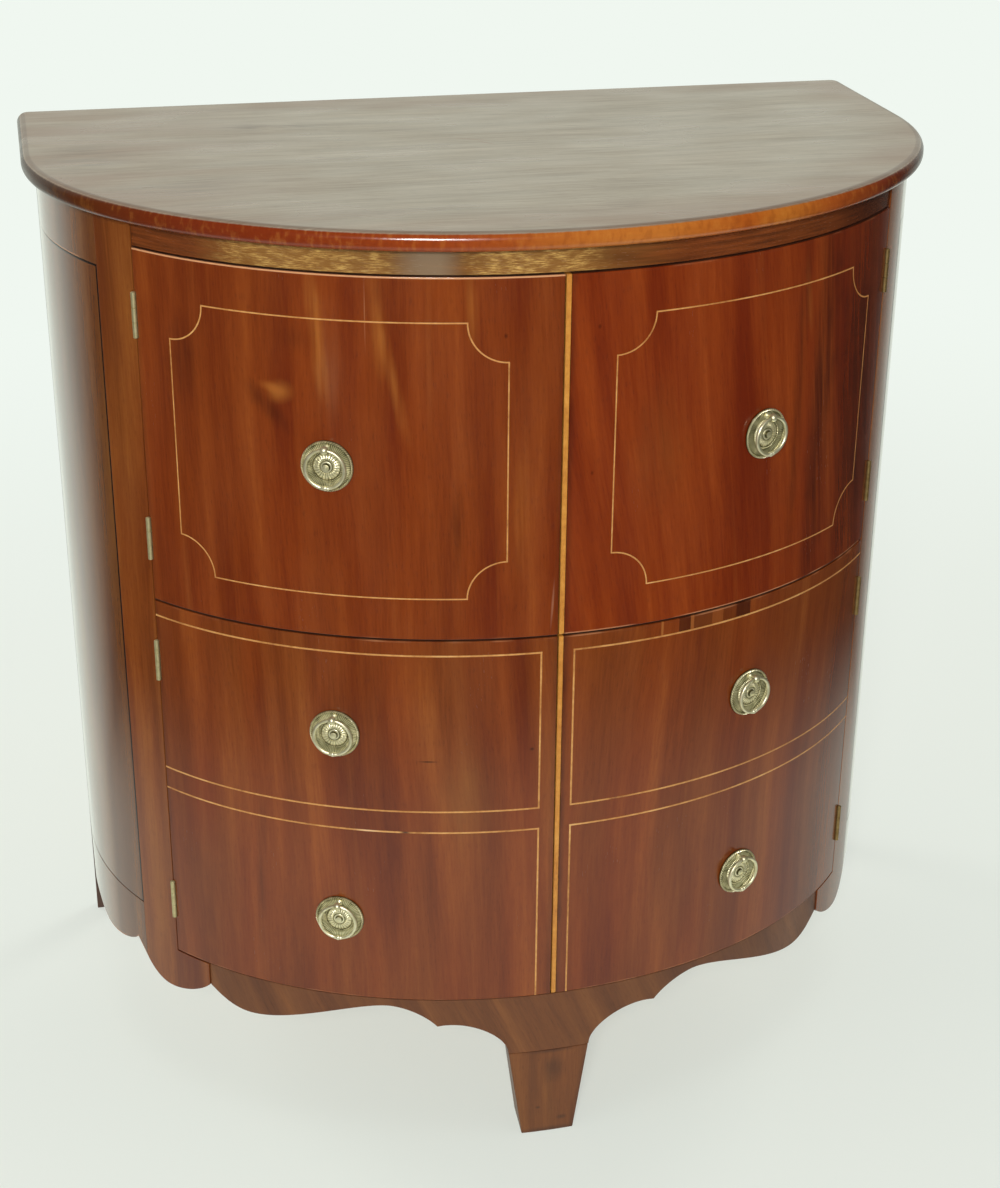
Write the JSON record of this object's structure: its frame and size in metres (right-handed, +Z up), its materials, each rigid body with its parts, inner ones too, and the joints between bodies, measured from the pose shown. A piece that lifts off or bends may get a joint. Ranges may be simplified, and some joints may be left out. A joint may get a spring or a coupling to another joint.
{
  "type": "demilune cabinet",
  "caption": "Half-round cabinet on three feet: bow-front doors on butt hinges, with boxwood stringing and ring pulls, close an upper and a lower cupboard.",
  "frame": {"origin": "on the floor under the middle of the top's plan, halfway between its front and its back edge", "axes": "+X along the front to the right, +Y from the front to the wall, +Z up"},
  "size_m": [0.85, 0.5174, 0.9134],
  "materials": {
    "top_mahogany": "French-polished solid mahogany top, slightly greyed",
    "mahogany": "French-polished mahogany veneer",
    "dark_mahogany": "darker polished mahogany",
    "pine": "plain unfinished softwood",
    "boxwood": "polished pale boxwood",
    "brass": "aged pale brass"
  },
  "bodies": {
    "carcass": {"top_board": "top_mahogany", "frieze_rail": "dark_mahogany", "front_apron": "dark_mahogany", "front_foot": "dark_mahogany", "left_rear_post": "dark_mahogany", "right_rear_post": "dark_mahogany", "front_foot_block": "pine", "base_board": "pine", "middle_shelf": "pine", "back_board_1": "pine", "back_board_2": "pine", "back_board_3": "pine", "left_stile": "mahogany", "left_side_rail": "mahogany", "left_side_panel": "mahogany", "left_side_apron": "mahogany", "right_stile": "mahogany", "right_side_rail": "mahogany", "right_side_panel": "mahogany", "right_side_apron": "mahogany", "upper_left_bottom_hinge_stile_leaf": "brass", "upper_left_top_hinge_stile_leaf": "brass", "lower_left_bottom_hinge_stile_leaf": "brass", "lower_left_top_hinge_stile_leaf": "brass", "upper_right_bottom_hinge_stile_leaf": "brass", "upper_right_top_hinge_stile_leaf": "brass", "lower_right_bottom_hinge_stile_leaf": "brass", "lower_right_top_hinge_stile_leaf": "brass"},
    "upper_left_door": {"upper_left_door": "mahogany", "upper_left_stringing": "boxwood", "upper_left_bottom_hinge_door_leaf": "brass", "upper_left_top_hinge_door_leaf": "brass", "upper_left_pull_plate": "brass"},
    "upper_left_pull_ring": {"upper_left_pull_ring": "brass"},
    "lower_left_door": {"lower_left_door": "mahogany", "lower_left_top_stringing": "boxwood", "lower_left_bottom_stringing": "boxwood", "lower_left_bottom_hinge_door_leaf": "brass", "lower_left_top_hinge_door_leaf": "brass", "lower_left_top_pull_plate": "brass", "lower_left_bottom_pull_plate": "brass"},
    "lower_left_top_pull_ring": {"lower_left_top_pull_ring": "brass"},
    "lower_left_bottom_pull_ring": {"lower_left_bottom_pull_ring": "brass"},
    "upper_right_door": {"upper_right_door": "mahogany", "upper_closing_bead": "boxwood", "upper_right_stringing": "boxwood", "upper_right_bottom_hinge_door_leaf": "brass", "upper_right_top_hinge_door_leaf": "brass", "upper_right_pull_plate": "brass"},
    "upper_right_pull_ring": {"upper_right_pull_ring": "brass"},
    "lower_right_door": {"lower_right_door": "mahogany", "lower_closing_bead": "boxwood", "lower_right_top_stringing": "boxwood", "lower_right_bottom_stringing": "boxwood", "lower_right_bottom_hinge_door_leaf": "brass", "lower_right_top_hinge_door_leaf": "brass", "lower_right_top_pull_plate": "brass", "lower_right_bottom_pull_plate": "brass"},
    "lower_right_top_pull_ring": {"lower_right_top_pull_ring": "brass"},
    "lower_right_bottom_pull_ring": {"lower_right_bottom_pull_ring": "brass"}
  },
  "joints": [
    {"name": "upper_left_door_swing", "type": "hinge", "parent": "carcass", "child": "upper_left_door", "pos_m": [-0.34162, -0.09869, 0.71], "axis": [0, 0, -1], "range_deg": [0, 150]},
    {"name": "upper_left_pull_ring_swing", "type": "hinge", "parent": "upper_left_door", "child": "upper_left_pull_ring", "pos_m": [-0.19809, -0.21385, 0.72301], "axis": [-0.916, 0.4013, 0], "range_deg": [0, 160]},
    {"name": "lower_left_door_swing", "type": "hinge", "parent": "carcass", "child": "lower_left_door", "pos_m": [-0.34162, -0.09869, 0.355], "axis": [0, 0, -1], "range_deg": [0, 150]},
    {"name": "lower_left_top_pull_ring_swing", "type": "hinge", "parent": "lower_left_door", "child": "lower_left_top_pull_ring", "pos_m": [-0.19809, -0.21385, 0.46594], "axis": [-0.916, 0.4013, 0], "range_deg": [0, 160]},
    {"name": "lower_left_bottom_pull_ring_swing", "type": "hinge", "parent": "lower_left_door", "child": "lower_left_bottom_pull_ring", "pos_m": [-0.19809, -0.21385, 0.26992], "axis": [-0.916, 0.4013, 0], "range_deg": [0, 160]},
    {"name": "upper_right_door_swing", "type": "hinge", "parent": "carcass", "child": "upper_right_door", "pos_m": [0.34162, -0.09869, 0.71], "axis": [0, 0, 1], "range_deg": [0, 150]},
    {"name": "upper_right_pull_ring_swing", "type": "hinge", "parent": "upper_right_door", "child": "upper_right_pull_ring", "pos_m": [0.19809, -0.21385, 0.72301], "axis": [-0.916, -0.4013, 0], "range_deg": [0, 160]},
    {"name": "lower_right_door_swing", "type": "hinge", "parent": "carcass", "child": "lower_right_door", "pos_m": [0.34162, -0.09869, 0.355], "axis": [0, 0, 1], "range_deg": [0, 150]},
    {"name": "lower_right_top_pull_ring_swing", "type": "hinge", "parent": "lower_right_door", "child": "lower_right_top_pull_ring", "pos_m": [0.19809, -0.21385, 0.46594], "axis": [-0.916, -0.4013, 0], "range_deg": [0, 160]},
    {"name": "lower_right_bottom_pull_ring_swing", "type": "hinge", "parent": "lower_right_door", "child": "lower_right_bottom_pull_ring", "pos_m": [0.19809, -0.21385, 0.26992], "axis": [-0.916, -0.4013, 0], "range_deg": [0, 160]}
  ]
}
